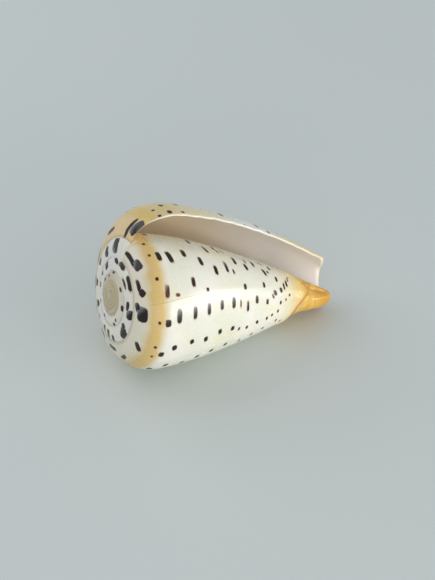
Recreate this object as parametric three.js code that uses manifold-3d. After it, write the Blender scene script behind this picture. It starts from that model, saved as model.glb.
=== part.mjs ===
// A large cone shell, lying on its side as it rests on a table.
//
// The shell is one piece: a tube that grew in a right-handed spiral round a straight axis. Its size is
// followed in turns of growth t, from t = 0 at the outer lip back to t = -1 on the wall that faces the
// lip, and on back through the spire. A point on stage t is given by its depth u along the axis from
// the apex and its radius r from the axis, and it sits at the angle of that stage round the axis.
// All lengths are millimetres, +Z is up and +X runs along the shell towards its front tip.

import * as THREE from 'three';
import { mergeVertices } from 'three/addons/utils/BufferGeometryUtils.js';
import Module from 'manifold-3d';

// Spire: where each turn is joined to the one before it
const SUTURE_RADIUS = 25;        // radius of the suture where the outer lip starts
const SUTURE_RADIUS_RATIO = 1.53; // growth of that radius in one turn
const SUTURE_DEPTH = 4.6;        // depth of the same suture below the apex
const SUTURE_DEPTH_RATIO = 1.9;  // growth of that depth in one turn
const SPIRE_TURNS = 3;           // turns of the spire that are followed before the apex cap
const SEAT = 0.44;               // part of the rounded shoulder that stays free of the next turn

// Last turn: the rounded shoulder and the long tapering body below it
const BODY_GROWTH = 1.59;        // growth of the greatest radius over the last turn
const LIP_SLOWING = 0.08;        // part of that growth lost over the last half turn
const SHOULDER_SPAN = 0.22;      // length of the rounded shoulder at the lip, as a part of the body
const SHOULDER_EASE = 0.25;      // how soon the shoulder reaches that roundness
const BODY_BULGE = 1.19;         // fullness of the body's outline below the shoulder
const BODY_HOLLOW = [0.29, 1.19]; // hollowing of that outline towards the tip, at the lip and facing it
const END_RADIUS = [12.8, 1.6];  // radius of the front end, at the lip and facing it
const END_EASE = 0.8;            // how soon that radius falls away from the lip
const END_DEPTH = [99.5, 103];   // depth of the front end, at the lip and facing it
const TIP_ROUNDING = 0.3;        // how far the closed side of the front end rounds in
const TIP_START = 0.88;          // where that rounding starts along the body
const FRONT_BOW = 4.2;           // how far the front margin bows out halfway round
const TIP_DEPTH = 104.5;          // depth of the very tip, on the axis
const TIP_BEND = [-2.2, -2.75];  // how far the tip stands off the axis, sideways and upwards
const BEND_START = 76;           // depth where that bend starts
const BEND_RADIUS = 13;          // radius beyond which nothing bends
const BEND_FADE = 5;             // width over which the bend grows inwards from that radius

// Hollow inside the last turn
const LIP_WALL = 2;              // thickness of the shell wall at the lip
const INNER_WALL = 3.2;          // thickness of the wall deep inside
const HOLLOW_TURNS = 0.92;       // how far the hollow goes back from the lip
const HOLLOW_START = 0.13;       // where the hollow starts on the rounded shoulder, as a part of it
const COLUMN_TAPER = 1.6;        // narrowing of the central column over one turn back
const CHANNEL_TURNS = 0.5;       // part of a turn over which the front end is open
const CLOSED_END_DEPTH = 62;     // depth that the hollow reaches at its inner end
const LEAST_GAP = 0.8;           // narrowest hollow between the column and the wall
const OVERSHOOT = 10;            // how far the cutting shape stands out of the front end

// How the shell lies
const LIP_ANGLE = -5;            // angle of the lip from straight up, towards the far side, in degrees
const AXIS_SLOPE = 15.5;         // fall of the axis from the apex to the tip, in degrees
const REST_FLAT = 0.45;          // height of the worn flat that the shell lies on

const STEPS_PER_TURN = 44;
const BODY_STEPS = 11;
const RAMP_STEPS = 3;

const mix = (a, b, k) => a + (b - a) * k;
const clamp01 = (x) => Math.min(1, Math.max(0, x));
const range = (count) => Array.from({ length: count + 1 }, (_, i) => i / count);

// Quarter circle from 0 to 1, used for the rounded shoulder
const roundOff = (q) => Math.sqrt(1 - (1 - clamp01(q)) ** 2);

const sutureRadius = (t) => SUTURE_RADIUS * SUTURE_RADIUS_RATIO ** (t + 1);
const sutureDepth = (t) => SUTURE_DEPTH * SUTURE_DEPTH_RATIO ** (t + 1);

// Outline of the body from its greatest radius (1) to the front end (0)
function fullness(t, s) {
  const hollow = mix(BODY_HOLLOW[0], BODY_HOLLOW[1], clamp01(-t));
  return (1 - s) * (1 + BODY_BULGE * s - hollow * s * s);
}

// Values at t = -1 that let the last turn run on from the spire without a step
const bow = (t) => FRONT_BOW * Math.sin(Math.PI * clamp01(-t)) ** 0.7;
const frontDepth = (t) => mix(END_DEPTH[0], END_DEPTH[1], clamp01(-t)) + bow(t);
const bodyLength = (t) => frontDepth(t) - sutureDepth(t - 1);
const FIRST_SPAN = (sutureDepth(-1) - sutureDepth(-2)) / (SEAT * bodyLength(-1));
const FIRST_RISE = mix(sutureRadius(-2), sutureRadius(-1), 1 / roundOff(SEAT)) - END_RADIUS[1];
const FIRST_RADIUS = END_RADIUS[1] + FIRST_RISE / fullness(-1, SEAT * FIRST_SPAN);

const shoulderSpan = (t) => FIRST_SPAN * (SHOULDER_SPAN / FIRST_SPAN) ** (clamp01(1 + t) ** SHOULDER_EASE);

// Outline of stage t in the last turn: s runs from the suture (0) over the shoulder to the front end (1)
function lastTurn(t, s) {
  const age = clamp01(-t);
  const slowing = 1 - LIP_SLOWING * Math.max(0, 1 + 2 * t) ** 2;
  const greatest = FIRST_RADIUS * BODY_GROWTH ** (1 + t) * slowing;
  const end = mix(END_RADIUS[1], END_RADIUS[0], (1 - age) ** END_EASE);
  const body = end + (greatest - end) * fullness(t, s);
  const start = sutureRadius(t - 1);
  const closed = clamp01((age - 0.4) / 0.2);
  const rounding = 1 - TIP_ROUNDING * closed * clamp01((s - TIP_START) / (1 - TIP_START)) ** 2;
  return {
    u: sutureDepth(t - 1) + bodyLength(t) * s,
    r: (start + (body - start) * roundOff(s / shoulderSpan(t))) * rounding,
  };
}

// Visible ramp of any turn: w runs from its inner suture (0) to the line where the next turn sits (1)
function ramp(t, w) {
  if (t >= -1) return lastTurn(t, w * SEAT * shoulderSpan(t));
  return {
    u: mix(sutureDepth(t - 1), sutureDepth(t), w),
    r: mix(sutureRadius(t - 1), sutureRadius(t), roundOff(SEAT * w) / roundOff(SEAT)),
  };
}

// Body of the last turn: rows crowd together on the shoulder, where the outline bends most
function bodyAt(t, row) {
  const seat = SEAT * shoulderSpan(t);
  return lastTurn(t, mix(seat, 1, row ** 1.4));
}

// A point of the outline, set at the angle of stage t round the axis
function place(t, { u, r }) {
  const angle = THREE.MathUtils.degToRad(LIP_ANGLE) + 2 * Math.PI * t;
  const along = clamp01((u - BEND_START) / (TIP_DEPTH - BEND_START));
  const bend = along ** 2 * clamp01((BEND_RADIUS - r) / BEND_FADE);
  const sideways = bend * TIP_BEND[0] - r * Math.sin(angle);
  const upwards = bend * TIP_BEND[1] + r * Math.cos(angle);
  return new THREE.Vector3(u, sideways, upwards);
}

// Adds the two triangles of each cell of a grid of points, columns[i][j], to a triangle list
function addGrid(triangles, columns) {
  for (let i = 0; i + 1 < columns.length; i++) {
    for (let j = 0; j + 1 < columns[i].length; j++) {
      const [a, b, c, d] = [columns[i][j], columns[i + 1][j], columns[i + 1][j + 1], columns[i][j + 1]];
      triangles.push([a, b, c], [a, c, d]);
    }
  }
}

function toGeometry(triangles) {
  const geometry = new THREE.BufferGeometry().setFromPoints(triangles.flat());
  return mergeVertices(geometry, 1e-4);
}

// The shell with no hollow: spire, last turn, front end, and the flat step at the lip that closes them
function filledShell() {
  const triangles = [];
  const turn = range(STEPS_PER_TURN);
  const spireSteps = range(STEPS_PER_TURN * SPIRE_TURNS).map((k) => -SPIRE_TURNS * (1 - k));
  const rampAt = (t) => range(RAMP_STEPS).map((w) => place(t, ramp(t, w)));
  const columnAt = (t) => range(BODY_STEPS).map((row) => place(t, bodyAt(t, row)));
  const body = turn.map((k) => columnAt(k - 1));
  addGrid(triangles, spireSteps.map(rampAt));
  addGrid(triangles, body);

  const apex = new THREE.Vector3(0, 0, 0);
  const firstTurn = turn.map((k) => {
    const t = k - 1 - SPIRE_TURNS;
    return place(t, { u: sutureDepth(t), r: sutureRadius(t) });
  });
  const rim = [...firstTurn, ...rampAt(-SPIRE_TURNS).reverse().slice(1)];
  for (let i = 0; i + 1 < rim.length; i++) triangles.push([apex, rim[i + 1], rim[i]]);

  const tip = place(0, { u: TIP_DEPTH, r: 0 });
  const ends = body.map((column) => column[BODY_STEPS]);
  for (let i = 0; i + 1 < ends.length; i++) triangles.push([tip, ends[i], ends[i + 1]]);

  const inner = body[0];
  const outer = body[STEPS_PER_TURN];
  const lipRamp = rampAt(0);
  for (let i = 1; i < RAMP_STEPS; i++) triangles.push([inner[0], lipRamp[i + 1], lipRamp[i]]);
  for (let j = 0; j < BODY_STEPS; j++) {
    triangles.push([inner[j], inner[j + 1], outer[j]], [inner[j + 1], outer[j + 1], outer[j]]);
  }
  triangles.push([inner[BODY_STEPS], tip, outer[BODY_STEPS]]);
  return toGeometry(triangles);
}

// Radius of the wall that faces the hollow on its inner side, at depth u of stage t
function columnRadius(t, u) {
  const s = clamp01((u - sutureDepth(-2)) / bodyLength(-1));
  const facing = lastTurn(Math.max(-1, t - 1), s).r;
  return t > 0 ? facing + 40 * t : facing * COLUMN_TAPER ** t;
}

// The hollow: a ring of points at each stage, out along the column and back inside the outer wall
function hollow() {
  const stages = range(STEPS_PER_TURN).map((k) => mix(-HOLLOW_TURNS, 1 / STEPS_PER_TURN, k));
  const rings = stages.map((t) => {
    const stage = Math.min(t, 0);
    const wall = mix(LIP_WALL, INNER_WALL, clamp01(-3 * t));
    const closing = clamp01((-t - CHANNEL_TURNS) / (HOLLOW_TURNS - CHANNEL_TURNS));
    const reach = mix(frontDepth(stage), CLOSED_END_DEPTH, closing);
    const first = HOLLOW_START * shoulderSpan(stage);
    const last = (reach - sutureDepth(stage - 1)) / bodyLength(stage);
    const outerWall = [];
    const innerWall = [];
    for (const row of range(BODY_STEPS)) {
      const s = mix(first, last, row ** 1.4);
      const here = lastTurn(stage, s);
      const next = lastTurn(stage, s + 0.002);
      const along = new THREE.Vector2(next.u - here.u, next.r - here.r).normalize();
      const u = here.u + along.y * wall;
      const columnSide = columnRadius(t, u);
      outerWall.push({ u, r: Math.max(here.r - along.x * wall, columnSide + LEAST_GAP) });
      innerWall.push({ u, r: columnSide });
    }
    const end = closing === 0 ? END_DEPTH[0] + OVERSHOOT : reach + LEAST_GAP;
    outerWall.push({ u: end, r: outerWall[BODY_STEPS].r });
    innerWall.push({ u: end, r: innerWall[BODY_STEPS].r });
    return [...innerWall, ...outerWall.reverse()].map((p) => place(t, p));
  });
  const triangles = [];
  addGrid(triangles, rings.map((ring) => [...ring, ring[0]].reverse()));
  const half = BODY_STEPS + 2;
  for (const [ring, front] of [[rings[0], false], [rings[STEPS_PER_TURN], true]]) {
    for (let j = 0; j + 1 < half; j++) {
      const [a, b] = [ring[j], ring[j + 1]];
      const [c, d] = [ring[2 * half - 2 - j], ring[2 * half - 1 - j]];
      triangles.push(...(front ? [[a, b, c], [a, c, d]] : [[a, c, b], [a, d, c]]));
    }
  }
  return toGeometry(triangles);
}

const wasm = await Module();
wasm.setup();

function toManifold(geometry) {
  const vertProperties = new Float32Array(geometry.attributes.position.array);
  const triVerts = new Uint32Array(geometry.index.array);
  return new wasm.Manifold(new wasm.Mesh({ numProp: 3, vertProperties, triVerts }));
}

function fromManifold(solid) {
  const mesh = solid.getMesh();
  const geometry = new THREE.BufferGeometry();
  geometry.setAttribute('position', new THREE.BufferAttribute(new Float32Array(mesh.vertProperties), 3));
  geometry.setIndex(new THREE.BufferAttribute(new Uint32Array(mesh.triVerts), 1));
  return geometry;
}

// The hollow shell, laid down on the table with its origin below the middle of its outline
function shellGeometry() {
  const shell = toManifold(filledShell()).subtract(toManifold(hollow()));
  const laid = fromManifold(shell).rotateY(THREE.MathUtils.degToRad(AXIS_SLOPE));
  laid.computeBoundingBox();
  laid.translate(0, 0, -laid.boundingBox.min.z - REST_FLAT);
  const below = new THREE.BoxGeometry(400, 400, 50).translate(0, 0, -25);
  below.deleteAttribute('normal');
  below.deleteAttribute('uv');
  const rested = fromManifold(toManifold(laid).subtract(toManifold(mergeVertices(below))));
  rested.computeBoundingBox();
  const middle = rested.boundingBox.getCenter(new THREE.Vector3());
  rested.translate(-middle.x, -middle.y, 0);
  rested.computeVertexNormals();
  return rested;
}

const glossyShell = new THREE.MeshStandardMaterial({ color: 0xf1e6d2, roughness: 0.22, metalness: 0 });
const shell = new THREE.Mesh(shellGeometry(), glossyShell);
shell.name = 'shell';

const coneShell = new THREE.Group();
coneShell.add(shell);

export default coneShell;
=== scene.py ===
"""A large cone shell lying on its side on a plain pale floor.

The shell grew as one tube in a right-handed spiral round a straight axis. A point of it is given by
its stage t in turns of growth (0 at the outer lip, -1 on the wall that faces the lip, older in the
spire) and by its row s along the outline (0 at the suture, 1 at the front end). Shapes are worked out
in millimetres and written to the mesh in metres.
"""
import math

import bmesh
import bpy
import numpy as np
from mathutils import Matrix, Vector


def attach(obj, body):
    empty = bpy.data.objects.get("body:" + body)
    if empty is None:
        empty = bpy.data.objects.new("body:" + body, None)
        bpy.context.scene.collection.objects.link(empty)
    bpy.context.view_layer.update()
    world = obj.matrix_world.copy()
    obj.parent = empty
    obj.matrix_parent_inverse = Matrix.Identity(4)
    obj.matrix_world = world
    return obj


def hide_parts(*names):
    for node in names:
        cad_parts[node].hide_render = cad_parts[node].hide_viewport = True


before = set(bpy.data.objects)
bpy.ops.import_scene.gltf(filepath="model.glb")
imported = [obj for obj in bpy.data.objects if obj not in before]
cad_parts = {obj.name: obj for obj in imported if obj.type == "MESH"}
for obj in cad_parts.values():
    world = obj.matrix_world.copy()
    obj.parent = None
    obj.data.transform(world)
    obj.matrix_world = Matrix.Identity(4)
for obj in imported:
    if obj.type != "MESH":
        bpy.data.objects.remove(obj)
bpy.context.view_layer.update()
chance = np.random.default_rng(7)

# ---------------------------------------------------------------- growth of the shell, millimetres
SUTURE_RADIUS = 25.0
SUTURE_RADIUS_RATIO = 1.53
SUTURE_DEPTH = 4.6
SUTURE_DEPTH_RATIO = 1.9
SEAT = 0.44
BODY_GROWTH = 1.59
LIP_SLOWING = 0.08
SHOULDER_SPAN = 0.22
SHOULDER_EASE = 0.25
BODY_BULGE = 1.19
BODY_HOLLOW = (0.29, 1.19)
END_RADIUS = (12.8, 1.6)
END_EASE = 0.9
END_DEPTH = (100.7, 102.4)
TIP_ROUNDING = 0.3
TIP_START = 0.88
FRONT_BOW = 3.1
FRONT_BOW_POWER = 0.45
TIP_DEPTH = 103.4
TIP_BEND = (-2.2, -2.75)    # how far the tip stands off the axis, sideways and upwards
BEND_START = 76.0
BEND_RADIUS = 13.0
BEND_FADE = 5.0
LIP_WALL = 2.0
LIP_EDGE = 0.95             # thickness of the lip's sharp edge
INNER_WALL = 3.2
HOLLOW_TURNS = 0.92
COLUMN_TAPER = 1.6
CHANNEL_TURNS = 0.5
CLOSED_END_DEPTH = 62.0
LIP_ANGLE = math.radians(-5.0)
AXIS_SLOPE = math.radians(15.5)
REST_FLAT = 0.45
LIP_CORNER_ROW = 0.90       # row where the lip starts to round over into the front margin
LIP_CORNER_BACK = 6.5       # how far that rounding takes the corner back

TURN_STEPS = 220
SPIRE_TURNS = 6
RAMP_ROWS = 12
BODY_ROWS = 104
ROW_CROWDING = 1.25         # crowds the rows towards the shoulder
RIM_ROWS = 6
CAP_ROWS = 8
DOME_STAGES = 3             # stages of growth that the apex dome stands for
TURN = 2 * math.pi


def mix(a, b, k):
    return a + (b - a) * k


def clamp01(x):
    return np.clip(x, 0.0, 1.0)


def smooth(x):
    """Rises from 0 to 1 as x does, with level ends."""
    x = clamp01(x)
    return x * x * (3 - 2 * x)


def hump(x, middle, half_width):
    """A bell curve of height 1 round the middle."""
    return np.exp(-(((x - middle) / half_width) ** 2))


def round_off(q):
    """Quarter circle from 0 to 1."""
    return np.sqrt(1 - (1 - clamp01(q)) ** 2)


def suture_radius(t):
    """Radius of the suture that ends stage t, which grows by the same ratio every turn."""
    return SUTURE_RADIUS * SUTURE_RADIUS_RATIO ** (t + 1)


def suture_depth(t):
    """Depth of that suture below the apex, which grows by the same ratio every turn."""
    return SUTURE_DEPTH * SUTURE_DEPTH_RATIO ** (t + 1)


def front_depth(t):
    """Depth of the front end: a straight run back from the lip, plus a bow that is a power of a sine."""
    run = mix(END_DEPTH[0], END_DEPTH[1], clamp01(-t))
    return run + FRONT_BOW * np.sin(np.pi * clamp01(-t)) ** FRONT_BOW_POWER


def body_length(t):
    """Depth from the suture that row 0 starts at to the front end."""
    return front_depth(t) - suture_depth(t - 1)


def fullness(t, s):
    """Outline of the body from its greatest radius (1) to the front end (0)."""
    hollowing = mix(BODY_HOLLOW[0], BODY_HOLLOW[1], clamp01(-t))
    return (1 - s) * (1 + BODY_BULGE * s - hollowing * s * s)


# The last turn starts where the spire's newest ramp ends, with the same span and the same radius
FIRST_SPAN = (suture_depth(-1) - suture_depth(-2)) / (SEAT * body_length(-1.0))
FIRST_RISE = mix(suture_radius(-2), suture_radius(-1), 1 / round_off(SEAT)) - END_RADIUS[1]
FIRST_RADIUS = END_RADIUS[1] + FIRST_RISE / fullness(-1.0, SEAT * FIRST_SPAN)


def shoulder_span(t):
    """Rows that the quarter-circle shoulder takes: a ratio that goes by a power of the stage."""
    return FIRST_SPAN * (SHOULDER_SPAN / FIRST_SPAN) ** (clamp01(1 + t) ** SHOULDER_EASE)


def last_turn(t, s):
    """Depth and radius of row s at stage t of the last turn: a quarter-circle shoulder times the body."""
    slowing = 1 - LIP_SLOWING * np.maximum(0, 1 + 2 * t) ** 2
    greatest = FIRST_RADIUS * BODY_GROWTH ** (1 + t) * slowing
    end = mix(END_RADIUS[1], END_RADIUS[0], clamp01(1 + t) ** END_EASE)
    body = end + (greatest - end) * fullness(t, s)
    start = suture_radius(t - 1)
    closed = clamp01((-t - 0.4) / 0.2)
    rounding = 1 - TIP_ROUNDING * closed * clamp01((s - TIP_START) / (1 - TIP_START)) ** 2
    radius = (start + (body - start) * round_off(s / shoulder_span(t))) * rounding
    return suture_depth(t - 1) + body_length(t) * s, radius


def spire_ramp(t, w):
    """Depth and radius of the visible ramp of an older turn, from its inner suture (0) to the next (1)."""
    rise = round_off(SEAT * w) / round_off(SEAT)
    return mix(suture_depth(t - 1), suture_depth(t), w), mix(suture_radius(t - 1), suture_radius(t), rise)


def place(t, u, r):
    """Point at depth u and radius r, turned to the angle of stage t round the axis, u along X. Near the
    front end the narrow part bends off the axis by the square of its way to the tip."""
    angle = LIP_ANGLE + TURN * t
    reach = clamp01((u - BEND_START) / (TIP_DEPTH - BEND_START)) ** 2
    bend = reach * clamp01((BEND_RADIUS - r) / BEND_FADE)
    sideways = bend * TIP_BEND[0] - r * np.sin(angle)
    upwards = bend * TIP_BEND[1] + r * np.cos(angle)
    return np.stack([u + 0 * angle, sideways, upwards], -1)


def lean(s):
    """How far a growth line falls behind its stage at row s, in turns."""
    return 0.026 * smooth((s - 0.08) / 0.2) + 0.095 * clamp01((s - 0.62) / 0.14) ** 1.8


def uneven(x, seed, count=4096):
    """Smooth random wave along x with a knot at each whole number, from -1 to 1."""
    knots = np.random.default_rng(seed).uniform(-1, 1, count)
    whole = np.floor(x).astype(int)
    part = smooth(x - whole)
    return mix(knots[whole % count], knots[(whole + 1) % count], part)


CHIPS = ((0.30, 0.5, 0.006), (0.375, 0.9, 0.010), (0.398, 0.6, 0.005), (0.47, 0.8, 0.012), (0.52, 0.5, 0.006),
         (0.60, 0.45, 0.008), (0.68, 0.35, 0.006), (0.81, 0.35, 0.007))   # row, depth, half width


def lip_line(s):
    """How far the lip's edge stands back at row s, in turns: the round front corner and small chips."""
    corner = 1 - np.sqrt(1 - clamp01((s - LIP_CORNER_ROW) / (1 - LIP_CORNER_ROW)) ** 2)
    chips = sum(depth * hump(s, row, half) for row, depth, half in CHIPS)
    wave = 0.28 * (1 + uneven(s * 34, 3)) * smooth((s - 0.05) / 0.1)
    fade = 1 - smooth((s - 0.9) / 0.05)
    return (LIP_CORNER_BACK * corner + (chips + wave) * fade) / (TURN * last_turn(0.0, s)[1])


FOLD_STAGES = (-1.1, -0.97, -0.909, -0.872, -0.836, -0.809, -0.765, -0.724, -0.679, -0.60, -0.45, 0.0)
FOLD_ROWS = (0.79, 0.816, 0.84, 0.856, 0.871, 0.871, 0.849, 0.814, 0.797, 0.785, 0.78, 0.78)


def fold_row(t):
    """Row of the fold that winds round the front end, at stage t."""
    return np.interp(t, FOLD_STAGES, FOLD_ROWS)


def relief(t, s):
    """Height of the growth folds over the smooth outline: uneven waves along the stage of growth,
    stronger near the front, a groove with a swelling on either side along the fold of the front end, and
    the waist of the tip past it. Heights are in millimetres."""
    grown = t + lean(s)
    edges = smooth(s / 0.05) * smooth((1 - s) / 0.03)
    waves = 0.07 * uneven(grown * 46 + 500, 11) + 0.05 * uneven(grown * 17 + 300, 12)
    past = s - fold_row(t)
    strength = smooth((-0.42 - t) / 0.12)
    groove = -0.42 * hump(past, 0.0, 0.010) + 0.45 * hump(past, -0.03, 0.02) + 0.30 * hump(past, 0.035, 0.02)
    cords = 0.05 * uneven(past * 150 + 200, 13) * smooth((s - 0.72) / 0.12)
    tip_folds = 0.16 * uneven(grown * 30 + 2.0 * s + 100, 14) * smooth((s - 0.84) / 0.06)
    waist = -3.2 * strength * hump(past, 0.05, 0.05) * (1 - 0.75 * smooth((t + 0.85) / 0.12))
    return edges * (waves + strength * groove + cords + tip_folds + waist)


# ---------------------------------------------------------------- patches of the shell's surface
ramp_part = np.arange(RAMP_ROWS + 1) / RAMP_ROWS
body_part = (np.arange(1, BODY_ROWS + 1) / BODY_ROWS) ** ROW_CROWDING


def row_lengths(points):
    """Length from the first row to each row, at each stage of a grid of points."""
    steps = np.linalg.norm(np.diff(points, axis=1), axis=-1)
    return np.concatenate([np.zeros((len(points), 1)), np.cumsum(steps, 1)], 1)


def stack(*values):
    """Fields side by side as one field of vectors."""
    return np.stack(np.broadcast_arrays(*values), -1).astype(float)


def rows_at(t, last=1.0):
    """Rows s of stage t: even steps over the ramp, then crowded steps down the body to the last row."""
    seat = SEAT * shoulder_span(t)
    return np.concatenate([seat * ramp_part, mix(seat, last, body_part)], -1)


def offset(t, s, distance):
    """Depth and radius of row s moved by a distance along the outline's outward normal."""
    u, r = last_turn(t, s)
    next_u, next_r = last_turn(t, s + 0.0015)
    length = np.hypot(next_u - u, next_r - r)
    return u - (next_r - r) / length * distance, r + (next_u - u) / length * distance


def outer_sheet():
    """Outside of the last turn: stage and row of the grid, with the lip's own line at its edge."""
    stage = np.linspace(-1, 0, TURN_STEPS + 1)[:, None]
    s = rows_at(stage)
    t = stage - lip_line(s) * smooth((stage + 0.2) / 0.2)
    u, r = offset(t, s, relief(t, s))
    return t, s, place(t, u, r)


def lip_wall(t, s):
    """Thickness of the outer wall: thin where it leaves the suture, then the lip's or the inner wall's."""
    seat = SUTURE_DEPTH * (1 - SUTURE_DEPTH_RATIO ** t)
    full = mix(LIP_EDGE, mix(LIP_WALL, INNER_WALL, clamp01(-3 * t)), smooth(-t / 0.06) ** 0.8)
    return mix(seat, full, smooth(s / 0.14))


def column_point(t, s):
    """Depth and radius of the column's row s: the wall facing the lip, narrowed with each turn back."""
    facing = -1 + 0 * t
    u, r = offset(facing, s, relief(facing, s) * smooth((t + 0.12) / 0.12))
    return u, r * COLUMN_TAPER ** t


def hollow_sheets(outer_t, outer_points):
    """Inner side of the outer wall and the column that it faces, which meet at the suture, at the front
    end behind the channel, and deep inside."""
    steps = round(HOLLOW_TURNS * TURN_STEPS)
    stage = np.linspace(-1, 0, TURN_STEPS + 1)[-steps - 1:, None]
    closing = smooth((-stage - CHANNEL_TURNS) / (HOLLOW_TURNS - CHANNEL_TURNS))
    reach = mix(front_depth(stage), CLOSED_END_DEPTH, closing)
    last = (reach - suture_depth(stage - 1)) / body_length(stage)
    s = rows_at(stage, np.minimum(last, 1.0))
    t = stage - lip_line(s) * smooth((stage + 0.2) / 0.2)
    wall_u, wall_r = offset(t, s, -lip_wall(t, s))

    column_last = np.minimum((reach - suture_depth(-2)) / body_length(-1.0), 1.0)
    column_seat = SEAT * shoulder_span(-1.0)
    column_s = mix(column_seat, column_last, np.concatenate([[0.0], body_part]))
    column_u, column_r = column_point(stage, column_s)

    row = np.concatenate([0 * ramp_part, body_part])
    front = smooth((row - 0.72) / 0.28) * smooth(-stage / CHANNEL_TURNS)
    inner_end = smooth((-stage - HOLLOW_TURNS + 0.1) / 0.1)
    meeting = np.maximum(front, inner_end)
    facing_u = np.concatenate([0 * ramp_part[1:] + column_u[:, :1], column_u], 1)
    facing_r = np.concatenate([0 * ramp_part[1:] + column_r[:, :1], column_r], 1)
    wall_r = np.maximum(wall_r, facing_r)
    wall_u, wall_r = mix(wall_u, facing_u, meeting), mix(wall_r, facing_r, meeting)
    top_u = mix(wall_u[:, :1], column_u[:, :1], ramp_part)
    top_r = mix(wall_r[:, :1], column_r[:, :1], ramp_part)
    column_u = np.concatenate([top_u, column_u[:, 1:]], 1)
    column_r = np.concatenate([top_r, column_r[:, 1:]], 1)
    column_s = np.concatenate([0 * ramp_part[1:] + column_s[:, :1], column_s], 1)

    wall_points = place(t, wall_u, wall_r)
    column_points = place(stage + 0 * column_s, column_u, column_r)
    column_points[-1, RAMP_ROWS:] = outer_points[0, RAMP_ROWS:]
    column_points[-1, :RAMP_ROWS] = outer_points[0, RAMP_ROWS]
    wall_points[-1, 0] = outer_points[-1, 0]
    return (t, s, wall_points), (stage + 0 * column_s, column_s, column_points)


def rim_strip(outer, wall, column):
    """Rounded edge between the outside and the inside, down the lip, round its corner and along the
    front margin. Across it the edge follows a flattened half round that stands out of the shell."""
    half = TURN_STEPS - round(CHANNEL_TURNS * TURN_STEPS)
    stage = np.linspace(-1, 0, TURN_STEPS + 1)
    front = outer[2][::-1, -1]
    outside = np.concatenate([outer[2][-1], front[1:]])
    closed = stage[:half][::-1]
    end_radius = END_RADIUS[1] * COLUMN_TAPER ** (-1 - closed)
    closed_end = place(closed, END_DEPTH[1] + 0 * closed, end_radius)
    open_end = wall[2][::-1, -1][:TURN_STEPS - half + 1]
    inside = np.concatenate([wall[2][-1], open_end[1:], closed_end])
    inside[-1] = outer[2][0, -1]
    along = np.gradient(outside, axis=0)
    across = inside - outside
    width = np.linalg.norm(across, axis=1, keepdims=True)
    out = np.cross(across, along)
    out /= np.maximum(np.linalg.norm(out, axis=1, keepdims=True), 1e-9)
    height = np.minimum(width * 0.45, 0.8)
    v = (1 - np.cos(np.pi * np.arange(RIM_ROWS + 1) / RIM_ROWS)) / 2
    bulge = (1 - np.abs(2 * v - 1) ** 2.2) ** (1 / 2.2)
    points = outside[:, None] + across[:, None] * v[:, None] + (out * height)[:, None] * bulge[:, None]
    points[:, 0], points[:, -1] = outside, inside
    rim_t = np.concatenate([outer[0][-1], outer[0][::-1, -1][1:]])[:, None] + 0 * v
    rim_s = np.concatenate([outer[1][-1], outer[1][::-1, -1][1:]])[:, None] + 0 * v
    ends = inside[len(outer[2][-1]) - 1:]
    return rim_t, rim_s, points, v + 0 * rim_t, ends


def front_cap(column, rim_ends):
    """Blunt end of the front tip: rings that close on its middle."""
    half = TURN_STEPS - round(CHANNEL_TURNS * TURN_STEPS)
    edge = np.concatenate([rim_ends[::-1][:half], column[2][-(TURN_STEPS - half) - 1:, -1]])
    edge[0] = edge[-1]
    tip = place(0.0, np.array(TIP_DEPTH), np.array(0.0))
    k = np.arange(CAP_ROWS + 1) / CAP_ROWS
    swell = 0.25 * np.sin(np.pi * k)[None, :, None] * np.array([1.0, 0, 0])
    return edge[:, None] + (tip - edge)[:, None] * k[:, None] + swell


def spire_sheet():
    """Visible ramps of the older turns, with a soft swelling and small uneven folds on each."""
    stage = np.linspace(-SPIRE_TURNS, -1, (SPIRE_TURNS - 1) * TURN_STEPS + 1)[:, None]
    w = ramp_part[None, :] + 0 * stage
    u, r = spire_ramp(stage, w)
    span = suture_radius(stage) - suture_radius(stage - 1)
    edge = np.minimum(smooth(w / 0.25), smooth((1 - w) / 0.2))
    swell = edge * np.minimum(0.35, 0.05 * span) * (1 + 0.25 * uneven(stage * 34 + 900, 21))
    return stage + 0 * w, w, place(stage, u - swell * smooth((-1 - stage) / 0.03), r)


def apex_cap(spire_points):
    """Small dome that closes the oldest turn."""
    edge = np.concatenate([spire_points[:TURN_STEPS + 1, 0], spire_points[0, ::-1][1:]])
    apex = np.array([-0.35, 0.0, 0.0])
    k = np.arange(CAP_ROWS + 1) / CAP_ROWS
    dome = edge[:, None] + (apex - edge)[:, None] * k[:, None]
    flat_u = edge[:, None, 0] + (apex[0] - edge[:, None, 0]) * np.sqrt(k)
    dome[..., 0] = flat_u
    return dome


# ---------------------------------------------------------------- the spots
# Rows of spots: (row, half length along the growth, half width, chance that a spot is missing)
SPOT_ROWS = (
    (0.068, 0.58, 0.58, 0.10), (0.102, 1.42, 1.10, 0.05), (0.150, 2.21, 1.07, 0.02),
    (0.227, 1.99, 0.95, 0.02), (0.292, 1.84, 0.86, 0.02), (0.358, 1.52, 0.81, 0.05),
    (0.422, 1.78, 0.90, 0.05), (0.463, 1.00, 0.49, 0.35), (0.503, 1.42, 0.77, 0.10),
    (0.552, 1.21, 0.77, 0.10), (0.608, 1.00, 0.67, 0.05), (0.647, 0.95, 0.72, 0.10),
    (0.680, 0.89, 0.60, 0.10), (0.709, 0.84, 0.52, 0.15), (0.728, 0.68, 0.42, 0.30),
)
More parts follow.
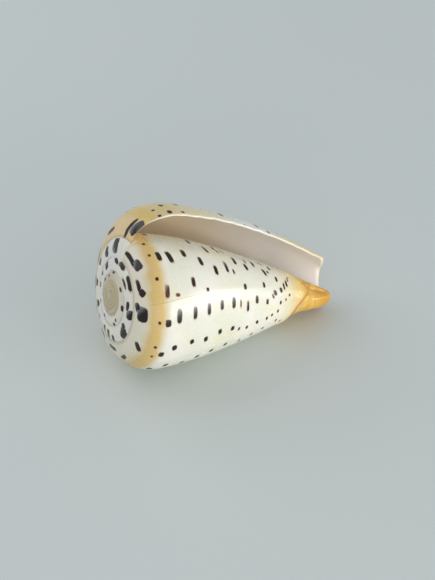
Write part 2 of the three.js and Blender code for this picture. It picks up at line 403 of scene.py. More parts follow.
# Spots placed one by one: (stage, row, half length, half width, turn in degrees, fade, red); the fade is a
# blue-grey side that is partly the pigment's own and partly a painted reflection of the light
NEAR_SPOTS = (
    (-1.040, 0.107, 1.59, 0.92, 0, 0, 0), (-1.062, 0.242, 2.06, 0.86, 0, 0, 0),
    (-1.019, 0.295, 2.06, 0.80, 0, 0, 0), (-0.984, 0.354, 2.19, 0.74, 0, 0, 0),
    (-1.003, 0.411, 2.44, 0.61, 0, 0, 0), (-0.999, 0.442, 1.22, 0.49, 0, 0, 0.3),
    (-0.950, 0.479, 1.83, 0.80, 0, 0, 0), (-0.929, 0.531, 1.71, 0.80, 0, 0, 0),
    (-0.956, 0.582, 1.46, 0.68, 0, 0, 0), (-0.962, 0.542, 1.10, 0.37, 0, 0, 0.4),
    (-0.985, 0.633, 1.59, 0.49, 20, 0, 0), (-0.982, 0.063, 0.61, 0.55, 0, 0, 0.7),
    (-0.942, 0.064, 0.55, 0.55, 0, 0, 0.4), (-0.936, 0.099, 2.13, 1.05, 0, 0, 0),
    (-0.934, 0.148, 2.74, 1.17, 8, 0, 0), (-0.949, 0.221, 1.89, 1.05, 0, 0.15, 0),
    (-0.927, 0.292, 2.01, 0.92, 0, 0.1, 0), (-0.901, 0.356, 2.06, 0.92, 0, 0, 0),
    (-0.916, 0.417, 2.56, 0.80, 0, 0.75, 0), (-0.901, 0.450, 1.03, 0.49, 0, 0, 0.2),
    (-0.956, 0.671, 1.10, 0.61, 0, 0, 0), (-0.916, 0.627, 1.59, 0.68, 15, 0, 0),
    (-0.921, 0.648, 0.61, 0.55, 0, 0, 0.5), (-0.878, 0.069, 0.67, 0.61, 0, 0, 0.2),
    (-0.847, 0.103, 2.44, 0.92, -6, 0.6, 0.75), (-0.838, 0.149, 0.67, 0.92, 0, 0.2, 1.0),
    (-0.867, 0.229, 1.95, 0.92, 0, 0.1, 0.15), (-0.847, 0.295, 0.79, 0.68, 0, 0, 0),
    (-0.850, 0.495, 1.16, 0.74, 0, 0, 0), (-0.856, 0.603, 1.10, 0.61, 0, 0, 0),
    (-0.884, 0.683, 1.03, 0.61, 0, 0, 0), (-0.774, 0.074, 0.61, 0.55, 0, 0, 0.2),
    (-0.774, 0.109, 1.52, 1.17, 0, 0.1, 0.1), (-0.789, 0.156, 2.87, 1.13, 0, 0.3, 0),
    (-0.793, 0.231, 2.62, 0.95, 0, 0.3, 0), (-0.798, 0.299, 2.38, 0.86, 0, 0.3, 0),
    (-0.804, 0.365, 1.89, 0.84, 0, 0.2, 0), (-0.805, 0.428, 2.13, 0.95, 0, 0.2, 0),
    (-0.800, 0.466, 1.40, 0.39, 0, 0, 1.0), (-0.787, 0.506, 1.95, 0.64, 0, 0.5, 0),
    (-0.804, 0.557, 1.52, 0.82, 0, 0.1, 0), (-0.788, 0.617, 1.10, 0.68, 0, 0, 0),
    (-0.806, 0.651, 0.97, 0.52, 30, 0.5, 0.4), (-0.818, 0.664, 1.22, 0.92, 30, 0.4, 0),
    (-0.828, 0.700, 1.03, 0.76, 15, 0.1, 0), (-0.845, 0.720, 1.22, 0.49, 0, 0, 0),
    (-0.862, 0.737, 1.28, 0.55, 0, 0, 0), (-0.885, 0.748, 0.67, 0.43, 0, 0, 0.8),
    (-0.900, 0.756, 0.37, 0.37, 0, 0, 1.0), (-0.708, 0.078, 0.61, 0.55, 0, 0, 0.2),
    (-0.688, 0.112, 1.40, 1.10, 0, 0, 0), (-0.708, 0.160, 1.46, 1.05, 20, 0, 0),
    (-0.717, 0.238, 1.28, 0.89, 20, 0, 0), (-0.715, 0.306, 1.35, 0.89, 15, 0, 0),
    (-0.728, 0.372, 1.28, 0.86, 15, 0, 0), (-0.726, 0.438, 1.10, 0.92, 0, 0, 0),
    (-0.716, 0.476, 0.85, 0.55, 0, 0, 0.3), (-0.710, 0.520, 0.92, 0.61, 20, 0, 0),
    (-0.716, 0.574, 0.97, 0.61, 25, 0, 0), (-0.716, 0.628, 0.85, 0.55, 20, 0, 0),
    (-0.723, 0.655, 0.67, 0.49, 0, 0, 0), (-0.732, 0.686, 0.67, 0.52, 0, 0, 0),
    (-0.770, 0.696, 0.67, 0.52, 0, 0, 0), (-0.778, 0.726, 0.49, 0.37, 0, 0, 0.5),
    (-0.797, 0.748, 0.51, 0.45, 0, 0, 0), (-0.676, 0.080, 0.55, 0.49, 0, 0, 0.3),
    (-0.611, 0.115, 1.71, 1.10, 0, 0, 0), (-0.636, 0.168, 1.52, 1.05, 0, 0, 0),
    (-0.628, 0.249, 1.46, 0.99, 0, 0, 0), (-0.642, 0.311, 1.40, 0.92, 0, 0, 0),
    (-0.653, 0.372, 1.28, 0.86, 0, 0, 0), (-0.662, 0.436, 1.16, 0.80, 0, 0, 0),
    (-0.648, 0.515, 0.97, 0.61, 0, 0, 0), (-0.655, 0.574, 0.97, 0.61, 0, 0, 0),
    (-0.664, 0.628, 0.85, 0.55, 0, 0, 0), (-0.68, 0.692, 0.73, 0.49, 0, 0, 0),
)
# Blotches of the shoulder
SHOULDER_SPOTS = (
    (-0.012, 0.0230, 2.5, 3.9, -18, 0.55, 0), (-0.036, 0.0130, 1.15, 4.9, -14, 0, 0),
    (-0.930, 0.0180, 2.6, 1.9, 12, 0.6, 0), (-0.966, 0.0095, 4.6, 1.0, 0, 0, 0),
    (-0.868, 0.0100, 2.5, 0.95, 8, 0.1, 0.1), (-0.846, 0.0170, 1.5, 1.5, 45, 0, 0.15),
    (-0.786, 0.0165, 3.2, 2.6, 0, 0.6, 0), (-0.803, 0.0050, 1.8, 1.5, 25, 0.4, 0),
    (-0.684, 0.0250, 2.3, 1.1, 40, 0.1, 0), (-0.587, 0.0225, 2.6, 1.0, 12, 0, 0),
    (-0.533, 0.0070, 3.4, 0.9, 0, 0.1, 0), (-0.455, 0.0090, 2.6, 1.1, 0, 0, 0),
    (-0.378, 0.0120, 2.4, 1.5, 0, 0.4, 0), (-0.305, 0.0090, 3.2, 1.1, 0, 0, 0),
    (-0.228, 0.0100, 3.4, 1.2, 10, 0.2, 0), (-0.135, 0.0110, 3.4, 1.1, 0, 0, 0),
)
# Spots on the outside of the lip
LIP_SPOTS = (
    (-0.042, 0.156, 1.5, 0.85, 0, 0, 0), (-0.049, 0.231, 1.9, 0.85, 0, 0, 0),
    (-0.009, 0.161, 1.3, 1.0, 0, 0, 0), (-0.007, 0.221, 0.8, 0.7, 0, 0, 0),
    (-0.004, 0.111, 0.8, 0.7, 0, 0, 0), (-0.029, 0.107, 0.7, 0.7, 0, 0, 0.3),
    (-0.032, 0.434, 1.9, 0.85, 0, 0, 0), (-0.029, 0.615, 2.2, 0.8, 0, 0, 0),
    (-0.010, 0.666, 1.2, 0.7, 0, 0, 0), (-0.047, 0.728, 1.8, 0.6, 0, 0, 0),
    (-0.043, 0.770, 1.2, 0.5, 0, 0, 0), (-0.002, 0.530, 0.7, 0.5, 0, 0, 0),
)
# Blotches of the spire, with their place across the ramp as the row
SPIRE_SPOTS = (
    (-1.073, 0.30, 2.50, 3.22, 0, 0.5, 0), (-1.145, 0.22, 1.75, 2.18, -20, 0.2, 0),
    (-1.215, 0.45, 1.50, 1.84, 15, 0, 0), (-1.290, 0.40, 1.62, 2.30, -10, 0, 0),
    (-1.372, 0.25, 1.50, 1.84, 20, 0, 0), (-1.416, 0.70, 1.38, 1.84, 0, 0, 0),
    (-1.480, 0.35, 1.12, 1.38, 30, 0, 0), (-1.521, 0.40, 1.38, 2.07, 0, 0, 0),
    (-1.560, 0.80, 1.25, 2.30, -15, 0, 0), (-1.664, 0.55, 2.88, 2.18, 35, 0.15, 0),
    (-1.690, 0.20, 1.50, 1.03, -30, 0, 0), (-1.762, 0.70, 1.88, 2.30, 20, 0.5, 0),
    (-1.794, 0.25, 2.00, 1.15, -10, 0, 0), (-1.885, 0.80, 3.38, 1.09, 0, 0, 0),
    (-1.901, 0.12, 2.62, 0.98, 8, 0.3, 0), (-1.982, 0.70, 2.50, 1.26, 0, 0.3, 0),
    (-2.037, 0.60, 2.12, 0.86, -20, 0, 0), (-2.146, 0.40, 1.50, 1.84, 10, 0, 0),
    (-2.215, 0.50, 0.9, 1.2, 0, 0, 0), (-2.281, 0.43, 1.2, 1.1, 0, 0, 0),
    (-2.370, 0.50, 0.8, 1.0, 20, 0, 0), (-2.460, 0.55, 0.9, 1.1, -20, 0, 0),
    (-2.600, 0.75, 1.0, 1.0, 0, 0, 0), (-2.640, 0.30, 0.7, 0.6, 30, 0, 0),
    (-2.761, 0.70, 1.1, 0.8, 10, 0, 0), (-2.880, 0.40, 1.1, 0.6, 0, 0, 0.1),
    (-3.042, 0.80, 0.9, 0.6, 0, 0, 0), (-3.110, 0.20, 0.6, 0.5, 0, 0, 0.2),
    (-3.196, 0.45, 0.7, 0.7, 0, 0, 0.2), (-3.330, 0.60, 0.5, 0.6, 0, 0.3, 0.3),
    (-3.487, 0.75, 0.5, 0.5, 0, 0.3, 0.3),
)
LATER_SERIES = (-0.560, -0.487, -0.412, -0.338, -0.262, -0.182, -0.105)
SPOT_REACH = 0.09           # stage within which a face may belong to a spot, in turns
SPOT_MARGIN = 3.0           # distance past which a face belongs to no spot, millimetres
NO_SPOT = 9.0               # stands for a place and a size where there is no spot
CORNERS = ((0, 0), (1, 0), (1, 1), (0, 1))


def body_spots():
    """All spots of the last turn: the ones placed one by one, and for the rest of the turn one series
    after another with each spot moved a little from the crossing of its series and its row."""
    spots = list(NEAR_SPOTS + SHOULDER_SPOTS + LIP_SPOTS)
    for stage in LATER_SERIES:
        strength = chance.uniform(0.75, 1.05)
        for row, length, width, missing in SPOT_ROWS:
            drift = chance.normal(0, [0.006, 0.002])
            size = chance.uniform(0.8, 1.1, 2) * strength
            gone, fade, red = chance.uniform(0, 1, 3)
            if gone < missing:
                continue
            place_t = stage - lean(row) + drift[0]
            # painted reflection: this random fade turns one side of a spot blue-grey, partly the pigment's
            # own and partly a reflection of the light painted in
            fade_and_sheen = 0.7 * (fade > 0.85)
            redness = 0.6 * (red > 0.88)
            spots.append((place_t, row + drift[1], length * size[0], width * size[1], 0, fade_and_sheen, redness))
    return spots


def at_corners(field):
    """The values of a grid's field at the four corners of each of its faces, in turn round the face."""
    rows, columns = field.shape[0] - 1, field.shape[1] - 1
    return np.stack([field[i:i + rows, j:j + columns] for i, j in CORNERS], 2)


def spot_place(along, across, half_long, half_wide, turned):
    """Distances along and across the growth, turned by the spot's angle, in the spot's half sizes."""
    angle = np.radians(turned)
    x = (along * np.cos(angle) + across * np.sin(angle)) / half_long
    y = (across * np.cos(angle) - along * np.sin(angle)) / half_wide
    return x, y


def spot_fields(t, s, radius, row_length, spots):
    """For each face, the spot it belongs to: at each corner, how far along and across that spot's own
    half sizes the corner lies, and the spot's size, fade (a blue-grey side, partly a painted reflection) and
    redness. The face takes the nearest spot.
    Distance along is arc length at the radius, and distance across is length down the outline."""
    spots = np.array(spots, float)
    grid_rows = np.arange(s.shape[1])
    nearest = np.abs(t[:, RAMP_ROWS][None, :] - spots[:, 0:1]).argmin(1)
    row_index = np.array([np.interp(row, s[i], grid_rows) for row, i in zip(spots[:, 1], nearest)])
    low = np.minimum(np.floor(row_index).astype(int), s.shape[1] - 2)
    part = (row_index - low)[:, None]
    spot_length = mix(row_length[:, low].T, row_length[:, low + 1].T, part)

    corner_t, corner_radius, corner_length = at_corners(t), at_corners(radius), at_corners(row_length)
    middle_t, middle_radius, middle_length = corner_t.mean(-1), corner_radius.mean(-1), corner_length.mean(-1)
    best = np.full(middle_t.shape, np.inf)
    owner = np.zeros(middle_t.shape, int)
    for number, (stage, _, half_long, half_wide, turned, _, _) in enumerate(spots):
        window = np.nonzero(np.abs(middle_t[:, 0] - stage) < SPOT_REACH)[0]
        if not len(window):
            continue
        along = TURN * middle_radius[window] * (middle_t[window] - stage)
        across = middle_length[window] - spot_length[number][window, None]
        x, y = spot_place(along, across, half_long, half_wide, turned)
        away = (np.sqrt(x * x + y * y) - 1) * min(half_long, half_wide)
        closer = away < best[window]
        best[window] = np.where(closer, away, best[window])
        owner[window] = np.where(closer, number, owner[window])

    chosen = spots[owner]
    lines = np.arange(len(owner))[:, None]
    own_length = np.stack([spot_length[owner, lines + i] for i, _ in CORNERS], -1)
    along = TURN * corner_radius * (corner_t - chosen[..., 0:1])
    across = corner_length - own_length
    x, y = spot_place(along, across, chosen[..., 2:3], chosen[..., 3:4], chosen[..., 4:5])
    size = np.minimum(chosen[..., 2:3], chosen[..., 3:4])
    far = best[..., None] > SPOT_MARGIN
    spot = stack(np.where(far, NO_SPOT, x), np.where(far, NO_SPOT, y), size)
    look = stack(chosen[..., 5:6] + 0 * x, chosen[..., 6:7], 0.0)
    return spot, look


# ---------------------------------------------------------------- one welded mesh
FIELDS = {"growth": 0.0, "zone": 0.0, "spot": NO_SPOT, "look": 0.0}
WELD_STEPS = 2000.0         # corners closer than one step are one point; steps to a millimetre
CREASE_ANGLE = 48.0         # degrees, past which an edge is shaded sharp
FAR = 40.0                  # edge distance given to what lies nowhere near the lip


def in_triangles(quads):
    """Each face of four corners as two triangles."""
    return np.concatenate([quads[:, [0, 1, 2]], quads[:, [0, 2, 3]]])


class Patches:
    """Grids of points with values at the corners of their faces, which weld into one closed mesh."""

    def __init__(self):
        self.corners, self.fields = [], {}

    def add(self, points, flip=False, **fields):
        """Adds a grid. A field is given at the grid's points, or already at the corners of its faces."""
        turn = [3, 2, 1, 0] if flip else [0, 1, 2, 3]
        self.corners.append(at_corners(points).reshape(-1, 4, 3)[:, turn])
        for name, default in FIELDS.items():
            field = fields.get(name, np.full(points.shape, default))
            at_faces = field if field.ndim == 4 else at_corners(field)
            self.fields.setdefault(name, []).append(at_faces.reshape(-1, 4, 3)[:, turn])

    def build(self, name):
        """Welds equal points, splits each face in two triangles, and drops the ones with no area."""
        corners = np.concatenate(self.corners)
        keys = np.round(corners.reshape(-1, 3) * WELD_STEPS).astype(np.int64)
        _, first, number = np.unique(keys, axis=0, return_index=True, return_inverse=True)
        vertices = corners.reshape(-1, 3)[first]
        triangles = in_triangles(number.reshape(-1, 4))
        a, b, c = triangles.T
        whole = (a != b) & (b != c) & (a != c)
        triangles = triangles[whole]
        mesh = bpy.data.meshes.new(name)
        mesh.vertices.add(len(vertices))
        mesh.loops.add(triangles.size)
        mesh.polygons.add(len(triangles))
        mesh.vertices.foreach_set("co", vertices.ravel())
        mesh.loops.foreach_set("vertex_index", triangles.ravel())
        mesh.polygons.foreach_set("loop_start", np.arange(0, triangles.size, 3))
        for key, parts in self.fields.items():
            value = in_triangles(np.concatenate(parts))[whole]
            layer = mesh.attributes.new(key, "FLOAT_VECTOR", "CORNER")
            layer.data.foreach_set("vector", value.astype(np.float32).ravel())
        mesh.update()
        mesh.validate()
        return mesh


def laid_down(points):
    """The points turned so that the axis falls towards the tip, lowered until the worn flat is cut, and
    centred. Also gives the shift that was taken off."""
    x, y, z = points.T
    fall_cos, fall_sin = math.cos(AXIS_SLOPE), math.sin(AXIS_SLOPE)
    x, z = x * fall_cos + z * fall_sin, z * fall_cos - x * fall_sin
    middle = np.array([(x.min() + x.max()) / 2, (y.min() + y.max()) / 2, z.min() + REST_FLAT])
    laid = np.stack([x, y, z], -1) - middle
    laid[:, 2] = np.maximum(laid[:, 2], 0)
    return laid, middle


def add_outside(patches, outer, spots):
    """The outside of the last turn, with its distance from the lip and the open front margin."""
    t, s, points = outer
    radius = last_turn(t, s)[1]
    length = row_lengths(points)
    from_lip = -t * TURN * radius
    from_front = length[:, -1:] - length
    edge = np.minimum(from_lip, from_front + FAR * smooth((-0.4 - t) / 0.1))
    spot, look = spot_fields(t, s, radius, length, spots)
    patches.add(points, growth=stack(t, s, 0.0), zone=stack(0.0, edge, 0.0), spot=spot, look=look)


def add_spire(patches, spire):
    """The ramps of the older turns."""
    t, w, points = spire
    spot, look = spot_fields(t, w, spire_ramp(t, w)[1], row_lengths(points), SPIRE_SPOTS)
    patches.add(points, growth=stack(t, w, 0.0), zone=stack(0 * t, FAR, 1.0), spot=spot, look=look)


def add_hollow(patches, wall, column, spots):
    """The inner side of the outer wall and the column, whose first part is still the outside."""
    t, s, points = wall
    depth = -t * TURN * last_turn(t, s)[1]
    patches.add(points, flip=True, growth=stack(t, s, 0.0), zone=stack(1.0, depth, 0.0))
    t, s, points = column
    inside = smooth((-t - 0.06) / 0.09)
    radius = np.linalg.norm(points[..., 1:], axis=-1)
    spot, look = spot_fields(t - 1, s, radius, row_lengths(points), spots)
    patches.add(points, growth=stack(t - 1, s, 0.0), zone=stack(inside, FAR, 0.0), spot=spot, look=look)


def add_edges(patches, outer, wall, column):
    """The rounded rim and the blunt end of the tip."""
    t, s, points, across, ends = rim_strip(outer, wall, column)
    closed = smooth((-0.42 - t) / 0.1)
    patches.add(points, growth=stack(t, s, across), zone=stack(across, FAR * closed, 0.0))
    cap = front_cap(column, ends)
    stage = np.linspace(-1, 0, TURN_STEPS + 1)[:, None] + 0 * cap[..., 0]
    patches.add(cap, flip=True, growth=stack(stage, 1.0, 0.0), zone=stack(0 * stage, FAR, 0.0))


def add_dome(patches, spire):
    """The dome that closes the oldest turn, coloured as if growth went on towards its middle."""
    dome = apex_cap(spire[2])
    stage = 0 * dome[..., 0] - SPIRE_TURNS - DOME_STAGES * np.arange(CAP_ROWS + 1) / CAP_ROWS
    patches.add(dome, growth=stack(stage, 0.5, 0.0), zone=stack(0 * stage, FAR, 1.0))


def cone_shell_mesh():
    """The whole shell: outside, spire, inner wall, column, rim and the two small caps, welded, laid down
    with its axis sloping, set on its worn flat and centred."""
    outer = outer_sheet()
    wall, column = hollow_sheets(outer[0], outer[2])
    spire = spire_sheet()
    spots = body_spots()
    patches = Patches()
    add_outside(patches, outer, spots)
    add_spire(patches, spire)
    add_hollow(patches, wall, column, spots)
    add_edges(patches, outer, wall, column)
    add_dome(patches, spire)

    mesh = patches.build("cone_shell")
    points = np.empty(len(mesh.vertices) * 3)
    mesh.vertices.foreach_get("co", points)
    laid, middle = laid_down(points.reshape(-1, 3))
    mesh.vertices.foreach_set("co", (laid / 1000).ravel())
    work = bmesh.new()
    work.from_mesh(mesh)
    bmesh.ops.recalc_face_normals(work, faces=work.faces)
    work.to_mesh(mesh)
    work.free()
    mesh.shade_smooth()
    mesh.set_sharp_from_angle(angle=math.radians(CREASE_ANGLE))
    return mesh, middle


# ---------------------------------------------------------------- materials
class Value:
    """A number, colour or vector that runs through a material. Plain expressions on it add Math nodes."""

    def __init__(self, finish, socket):
        self.finish, self.socket = finish, socket

    def maths(self, operation, *values):
        inputs = dict(enumerate(values))
        return self.finish.node("ShaderNodeMath", {"operation": operation}, inputs)

    def __add__(self, other):
        return self.maths("ADD", self, other)

    def __sub__(self, other):
        return self.maths("SUBTRACT", self, other)

    def __rsub__(self, other):
        return self.maths("SUBTRACT", other, self)

    def __mul__(self, other):
        return self.maths("MULTIPLY", self, other)

    def __truediv__(self, other):
        return self.maths("DIVIDE", self, other)

    def __rtruediv__(self, other):
        return self.maths("DIVIDE", other, self)

    def __pow__(self, other):
        return self.maths("POWER", self, other)

    def __abs__(self):
        return self.maths("ABSOLUTE", self)

    __radd__ = __add__
    __rmul__ = __mul__


class Finish:
    """A material in the making."""

    def __init__(self, name):
        self.material = bpy.data.materials.new(name)
        self.material.use_nodes = True
        self.tree = self.material.node_tree
        self.tree.nodes.clear()

    def node(self, kind, settings=None, inputs=None, output=0):
        """Adds a node of that type, makes its settings, then gives its sockets values or links."""
        node = self.tree.nodes.new(kind)
        for key, setting in (settings or {}).items():
            setattr(node, key, setting)
        for key, value in (inputs or {}).items():
            if isinstance(value, Value):
                self.tree.links.new(value.socket, node.inputs[key])
            else:
                node.inputs[key].default_value = value
        return Value(self, node.outputs[output])

    def output(self, shader):
        """Ends the material with its shader."""
        node = self.tree.nodes.new("ShaderNodeOutputMaterial")
        self.tree.links.new(shader.socket, node.inputs[0])

    def field(self, name):
        """The three parts of one of the mesh's own corner fields."""
        whole = self.node("ShaderNodeAttribute", {"attribute_name": name}, output="Vector")
        return [self.node("ShaderNodeSeparateXYZ", {}, {0: whole}, output=axis) for axis in "XYZ"]

    def vector(self, x, y, z):
        return self.node("ShaderNodeCombineXYZ", {}, {0: x, 1: y, 2: z})

    def noise(self, vector, scale, detail=2.0, roughness=0.5):
        inputs = {"Vector": vector, "Scale": scale, "Detail": detail, "Roughness": roughness}
        return self.node("ShaderNodeTexNoise", {}, inputs)

    def step(self, value, low, high):
        """Rises smoothly from 0 to 1 while value goes from low to high."""
        if high < low:
            return 1 - self.step(value, high, low)
        inputs = {"Value": value, "From Min": low, "From Max": high}
        return self.node("ShaderNodeMapRange", {"interpolation_type": "SMOOTHSTEP"}, inputs)

    def bell(self, value, middle, half_width):
        """1 at the middle, falling to 0 at the half width on either side."""
        return self.step(abs(value - middle), half_width, 0.0)

    def blend(self, amount, below, above):
        """The colour below, covered by that amount of the colour above."""
        return self.node("ShaderNodeMix", {"data_type": "RGBA"}, {0: amount, 6: below, 7: above}, 2)

    def larger(self, a, b):
        return self.node("ShaderNodeMath", {"operation": "MAXIMUM"}, {0: a, 1: b})

    def smaller(self, a, b):
        return self.node("ShaderNodeMath", {"operation": "MINIMUM"}, {0: a, 1: b})


SPOT_POWER = 3.3            # 2 would make the spots round, more makes them squarer


def tone(red, green, blue):
    """A colour given by its screen values of 0 to 255, as the linear colour the nodes work in."""
    linear = [((v / 255 + 0.055) / 1.055) ** 2.4 if v > 10 else v / 255 / 12.92 for v in (red, green, blue)]
    return (*linear, 1.0)


class ShellFinish(Finish):
    """Glazed shell: cream with a yellow shoulder band and growth lines, an orange front end, near-black
    spots, a white spire worn beige at its core, and a beige inside that pales towards the lip."""

    def __init__(self):
        super().__init__("glazed_shell")
        self.stage, self.row, self.rim_across = self.field("growth")
        self.inside, self.edge, self.spire = self.field("zone")
        self.here = self.node("ShaderNodeTexCoord", output="Object")
        self.clouds = self.noise(self.here, 42.0, 3.0)
        self.soft = self.noise(self.here, 95.0, 3.0)
        self.fine = self.noise(self.here, 900.0, 3.0, 0.6)
        lean_back = self.step(self.row, 0.08, 0.28) * 0.026 + self.step(self.row, 0.6, 0.78) * 0.1
        self.grown = self.stage + lean_back
        self.growth_lines = self.noise(self.vector(self.grown * 150.0, self.row * 1.6, 0.0), 1.0, 4.0, 0.65)
        self.wide_lines = self.noise(self.vector(self.grown * 26.0, self.row * 0.9, 3.0), 1.0, 2.0)
        self.cords = self.noise(self.vector(self.stage * 4.0, self.row * 170.0, 1.0), 1.0, 3.0, 0.6)
        self.rings = self.noise(self.vector(self.stage * 2.0, self.row * 3.0, 5.0), 2.0, 4.0, 0.7)
        self.front = self.step(self.row + (self.soft - 0.5) * 0.05, 0.74, 0.86)
        self.core = self.step(self.stage, -2.3, -3.6)
        edges = self.larger(self.step(self.row, 0.95, 1.0), self.step(self.row, 0.05, 0.0))
        self.suture = edges * self.step(self.soft, 0.4, 0.7)

    def body_tone(self):
        """Outside of the last turn: cream clouds, growth lines, the band, a healed scar, a yellow back."""
        body = self.blend(self.step(self.clouds, 0.38, 0.66), tone(226, 226, 209), tone(236, 233, 222))
        body = self.blend(self.step(self.soft, 0.52, 0.72) * 0.35, body, tone(232, 224, 178))
        body = self.blend(self.step(self.growth_lines, 0.52, 0.75) * 0.22, body, tone(220, 206, 160))
        middle_band = self.bell(self.row, 0.40, 0.13) * self.step(self.wide_lines, 0.45, 0.65)
        body = self.blend(middle_band * 0.35, body, tone(238, 224, 166))

        strength = self.step(self.wide_lines, 0.30, 0.62) * 0.3 + 0.7
        band = self.bell(self.row + (self.soft - 0.5) * 0.03, 0.066, 0.056) * strength
        body = self.blend(self.smaller(band * 1.3, 0.88), body, tone(222, 186, 104))
        shoulder = self.bell(self.row, 0.008, 0.045) * (1 - self.spire)
        body = self.blend(shoulder * 0.5, body, tone(238, 226, 198))

        scar_ends = self.step(self.row, 0.03, 0.05) * self.step(self.row, 0.27, 0.2)
        scar = self.bell(self.stage + self.row * 0.11 + (self.soft - 0.5) * 0.006, -0.811, 0.0016) * scar_ends
        body = self.blend(scar * 0.6, body, tone(206, 150, 78))

        back = self.step(self.stage, -0.42, -0.12)
        back_yellow = back * self.step(self.row, 0.55, 0.10) * (0.55 + self.soft * 0.5)
        body = self.blend(back_yellow * 0.85, body, tone(232, 202, 118))
        return self.blend(back * self.bell(self.row, 0.012, 0.045), body, tone(236, 206, 156))

    def front_tone(self, body):
        """The front end on top of the body: yellow, then orange, with a brown line along the fold."""
        fold = 0.800 + self.bell(self.stage, -0.825, 0.155) * 0.071
        yellow = self.step(self.row, 0.66, 0.82)
        body = self.blend(yellow * 0.7, body, tone(228, 204, 130))
        orange = self.blend(self.step(self.cords, 0.4, 0.65), tone(232, 190, 88), tone(208, 152, 40))
        body = self.blend(self.front * 0.9, body, orange)
        groove = self.bell(self.row, fold, 0.022) * 0.75 * self.step(self.stage, -0.4, -0.55)
        body = self.blend(groove, body, tone(186, 122, 34))
        body = self.blend(self.step(self.row, 0.87, 0.99) * 0.75, body, tone(206, 142, 42))
        lip_front = self.step(self.stage, -0.36, -0.2)
        body = self.blend(yellow * lip_front * 0.8, body, tone(232, 214, 160))
        return self.blend(self.step(self.cords, 0.55, 0.8) * self.front * 0.5, body, tone(190, 120, 52))

    def spire_tone(self):
        """Ramps of the spire: white with growth lines, worn beige rings at the core, brown sutures."""
        ramp = self.blend(self.step(self.clouds, 0.4, 0.62), tone(232, 230, 226), tone(240, 236, 220))
        ramp = self.blend(self.step(self.growth_lines, 0.5, 0.75) * 0.35, ramp, tone(206, 192, 168))
        worn = self.blend(self.step(self.rings, 0.4, 0.65), tone(186, 172, 138), tone(212, 200, 166))
        ramp = self.blend(self.core, ramp, worn)
        ramp = self.blend(self.step(self.stage, -7.2, -8.4) * 0.7, ramp, tone(196, 202, 200))
        return self.blend(self.suture * 0.5, ramp, tone(158, 134, 104))

    def spotted(self, outside):
        """The spots on the outside: a rounded square in the spot's own half sizes, with a wavy edge, a
        brown halo, streaks along the growth, and a blue-grey side that is partly pigment and partly a painted
        reflection."""
        spot_x, spot_y, spot_size = self.field("spot")
        fade, red, _ = self.field("look")
        aside = self.node("ShaderNodeVectorMath", {"operation": "ADD"}, {0: self.here, 1: (0.3, 0.7, 0.1)})
        sway = (0.42 + self.spire * 0.5) / self.larger(spot_size, 0.5)
        x = spot_x + (self.noise(self.here, 620.0, 2.0) - 0.5) * sway
        y = spot_y + (self.noise(aside, 620.0, 2.0) - 0.5) * sway
        distance = (abs(x) ** SPOT_POWER + abs(y) ** SPOT_POWER) ** (1 / SPOT_POWER)
        outward = (distance - 1) * spot_size
        mark = self.step(outward, 0.14, -0.10)
        halo = self.step(outward, 0.42, -0.05)
        streaks = self.noise(self.vector(self.grown * 420.0, self.row * 9.0, 7.0), 1.0, 2.0)
        dark = self.blend(self.step(streaks, 0.35, 0.7), tone(18, 12, 14), tone(38, 26, 24))
        dark = self.blend(red * 0.75, dark, tone(112, 62, 44))
        # painted reflection: the side of the spot towards the light turns blue-grey, partly the pigment's own
        # fade and partly a reflection of the light painted into the colour
        fade_and_sheen = self.step(x * -0.8 - y * 0.6 + (streaks - 0.5) * 0.5, 0.0, 1.1) * fade
        dark = self.blend(fade_and_sheen * 0.9, dark, tone(140, 152, 172))
        outside = self.blend(halo * 0.55, outside, tone(176, 128, 92))
        return self.blend(mark * (1 - fade_and_sheen * 0.35), outside, dark), mark

    def inner_tone(self):
        """The inside: beige deep in, paler towards the lip and the front, white at the very edge."""
        deep = self.blend(self.step(self.row, 0.25, 0.85), tone(244, 228, 198), tone(247, 242, 236))
        deep = self.blend(self.step(self.edge, 26.0, 4.0) * 0.75, deep, tone(246, 238, 228))
        deep = self.blend(self.step(self.growth_lines, 0.5, 0.8) * 0.12, deep, tone(214, 190, 160))
        inner = self.blend(self.step(self.edge, 1.3, 0.2), deep, tone(240, 238, 232))
        return self.blend(self.step(self.edge, 30.0, 39.0) * 0.3, inner, tone(214, 196, 170))

    def make(self):
        """Joins the tones, sets the gloss and the bump, and gives the finished material."""
        outside = self.blend(self.spire, self.front_tone(self.body_tone()), self.spire_tone())
        last_suture = (1 - self.spire) * (1 - self.inside) * self.step(self.row, 0.0035, 0.0)
        outside = self.blend(last_suture * 0.4, outside, tone(160, 134, 104))
        outside, mark = self.spotted(outside)
        colour = self.blend(self.step(self.inside, 0.0, 1.0), outside, self.inner_tone())
        rim = self.step(self.rim_across, 0.15, 0.5) * self.step(self.row, 0.003, 0.015)
        rim_tone = self.blend(self.step(self.row, 0.9, 0.99), tone(244, 242, 236), tone(234, 220, 192))
        colour = self.blend(rim, colour, rim_tone)

        worn_core = self.core * self.spire
        gloss_loss = worn_core * 0.28 + rim * 0.12 + self.inside * 0.10
        rough = 0.20 + self.step(self.fine, 0.45, 0.75) * 0.10 + self.soft * 0.06 + gloss_loss
        height = self.growth_lines * 0.5 + self.wide_lines * 0.25 + self.fine * 0.06
        height = height + self.cords * self.front * 0.8 + self.rings * worn_core * 1.2
        height = height + mark * 0.10 - self.suture * self.spire * 0.5
        bump = self.node("ShaderNodeBump", {}, {"Strength": 0.55, "Distance": 0.00012, "Height": height})
        self.output(self.node("ShaderNodeBsdfPrincipled", {}, {
            "Base Color": colour, "Roughness": rough, "Normal": bump, "IOR": 1.45}))
        return self.material


def floor_finish():
    """Plain pale floor."""
    f = Finish("pale_floor")
    here = f.node("ShaderNodeTexCoord", output="Object")
    cloud = f.noise(here, 3.0, 3.0)
    colour = f.blend(cloud, tone(210, 218, 216), tone(215, 222, 220))
    shader = f.node("ShaderNodeBsdfPrincipled", {}, {"Base Color": colour, "Roughness": 0.62})
    f.output(shader)
    return f.material


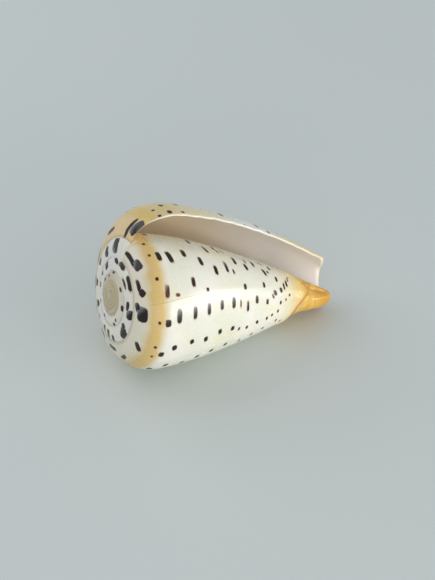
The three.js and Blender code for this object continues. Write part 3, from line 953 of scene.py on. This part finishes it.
# ---------------------------------------------------------------- the shell
shell_mesh, shell_middle = cone_shell_mesh()
cone_shell = bpy.data.objects.new("cone_shell", shell_mesh)
bpy.context.scene.collection.objects.link(cone_shell)
cone_shell.data.materials.append(ShellFinish().make())
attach(cone_shell, "root")
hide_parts("shell")

# ---------------------------------------------------------------- floor, light and camera
FLOOR_HALF = 6.0
floor_mesh = bpy.data.meshes.new("floor")
floor_corners = [(x * FLOOR_HALF, y * FLOOR_HALF, 0) for x, y in ((-1, -1), (1, -1), (1, 1), (-1, 1))]
floor_mesh.from_pydata(floor_corners, [], [(0, 1, 2, 3)])
floor = bpy.data.objects.new("floor", floor_mesh)
floor.data.materials.append(floor_finish())
bpy.context.scene.collection.objects.link(floor)


def area_light(name, place_from, aim, size, power, colour):
    """A soft rectangular light at a place in metres, turned to its aim."""
    data = bpy.data.lights.new(name, "AREA")
    data.shape = "RECTANGLE"
    data.size, data.size_y = size
    data.energy = power
    data.color = colour
    light = bpy.data.objects.new(name, data)
    light.location = place_from
    light.rotation_mode = "QUATERNION"
    light.rotation_quaternion = (Vector(place_from) - Vector(aim)).to_track_quat("Z", "Y")
    bpy.context.scene.collection.objects.link(light)


area_light("window", (-0.60, 0.70, 0.85), (0, 0, 0.03), (1.3, 1.1), 4.8, (0.94, 0.97, 1.0))
area_light("side_window", (0.95, -0.95, 0.16), (0, 0, 0.04), (1.3, 0.3), 12.0, (1.0, 0.98, 0.95))
area_light("front_fill", (-0.25, -1.2, 0.36), (0, 0, 0.03), (1.5, 0.5), 3.2, (1.0, 0.99, 0.97))

world = bpy.data.worlds.new("studio")
bpy.context.scene.world = world
world.use_nodes = True
world.node_tree.nodes["Background"].inputs[0].default_value = (0.93, 0.96, 1.0, 1.0)
world.node_tree.nodes["Background"].inputs[1].default_value = 0.50
bpy.context.scene.view_settings.view_transform = "Standard"

CAMERA_TURN = math.radians(-22.7)
CAMERA_RISE = math.radians(41.37)
CAMERA_DISTANCE = 0.686
CAMERA_SHIFT = (0.0003, 0.00006)    # how far the camera stands off its aim, to the right and upwards
MIDDLE_DEPTH = 50.0                 # depth of the point of the axis that the camera aims at, millimetres
fall = Vector((math.cos(AXIS_SLOPE), 0, -math.sin(AXIS_SLOPE)))
aim_point = (fall * MIDDLE_DEPTH - Vector(shell_middle)) / 1000
level = Vector((-math.sin(CAMERA_TURN), math.cos(CAMERA_TURN), 0))
forward = level * math.cos(CAMERA_RISE) - Vector((0, 0, math.sin(CAMERA_RISE)))
right = Vector((math.cos(CAMERA_TURN), math.sin(CAMERA_TURN), 0))
upward = right.cross(forward)
shift = right * CAMERA_SHIFT[0] + upward * CAMERA_SHIFT[1]
camera_data = bpy.data.cameras.new("camera")
camera_data.lens = 99.3
camera_data.sensor_width = 36.0
camera = bpy.data.objects.new("camera", camera_data)
camera.location = aim_point - forward * CAMERA_DISTANCE + shift
camera.rotation_mode = "QUATERNION"
camera.rotation_quaternion = Matrix((right, upward, -forward)).transposed().to_quaternion()
bpy.context.scene.collection.objects.link(camera)
bpy.context.scene.camera = camera
